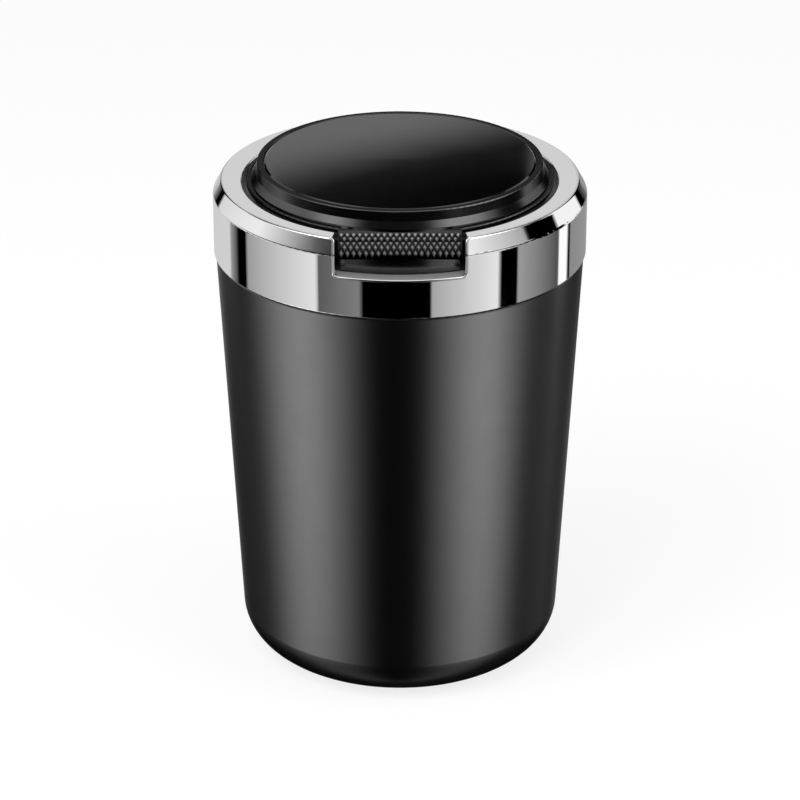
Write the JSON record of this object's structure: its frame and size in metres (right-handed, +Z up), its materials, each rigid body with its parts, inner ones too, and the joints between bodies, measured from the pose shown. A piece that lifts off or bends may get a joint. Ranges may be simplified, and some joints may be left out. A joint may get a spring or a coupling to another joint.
{
  "type": "car ashtray",
  "caption": "Tapered cup-holder ashtray with a plated ring, an ash funnel over a metal liner, a snuffer tube, a small light and a hinged lid with a knurled lift tab.",
  "frame": {"origin": "centre of the cup's underside", "axes": "+Z up along the cup's axis, -Y to the front where the lift tab is, +Y to the lid's hinge"},
  "size_m": [0.0802, 0.0802, 0.1135],
  "materials": {
    "satin_black": "fine satin moulded black",
    "inner_black": "plain moulded black",
    "gloss_black": "polished black",
    "plated_ring": "bright mirror plating",
    "liner_aluminium": "drawn sheet, dull",
    "steel": "brushed",
    "contact_brass": "spring strip",
    "silicone": "soft matt",
    "milky_clear": "milky light guide",
    "board_green": "solder-masked board",
    "led_white": "moulded lamp body",
    "switch_grey": "moulded grey"
  },
  "bodies": {
    "cup": {"cup_shell": "satin_black", "ash_liner": "liner_aluminium"},
    "seal": {"neck_seal": "silicone"},
    "head": {"chrome_ring": "plated_ring", "head_base": "inner_black", "head_deck": "inner_black", "deck_screws": "steel", "hinge_pin": "steel", "ash_funnel": "inner_black", "snuffer_sleeve": "steel", "light_ring": "milky_clear", "led_board": "board_green", "side_leds": "led_white", "light_switch": "switch_grey", "battery_cells": "steel", "battery_contacts": "contact_brass", "battery_door": "inner_black", "battery_door_screw": "steel"},
    "plunger": {"switch_plunger": "switch_grey"},
    "lid": {"lid_shell": "satin_black", "lid_disc": "gloss_black", "lid_plate": "steel", "lid_plate_screw": "steel", "lid_seal": "silicone"}
  },
  "joints": [
    {"name": "head_rise", "type": "slide", "parent": "cup", "child": "seal", "axis": [0, 0, 1], "range_m": [0, 0.008]},
    {"name": "head_turn", "type": "hinge", "parent": "seal", "child": "head", "pos_m": [0, 0, 0.0934], "axis": [0, 0, 1], "range_deg": [0, 360]},
    {"name": "lid_hinge", "type": "hinge", "parent": "head", "child": "lid", "pos_m": [0, 0.0362, 0.1077], "axis": [-1, 0, 0], "range_deg": [0, 100]},
    {"name": "plunger_travel", "type": "slide", "parent": "head", "child": "plunger", "axis": [0, 0, 1], "range_m": [0, 0.0011]}
  ],
  "couplings": [
    {"joint": "head_rise", "follows": "head_turn", "m_per_rad": 0.00127},
    {"joint": "plunger_travel", "follows": "lid_hinge", "m_per_rad": 0.00063}
  ]
}
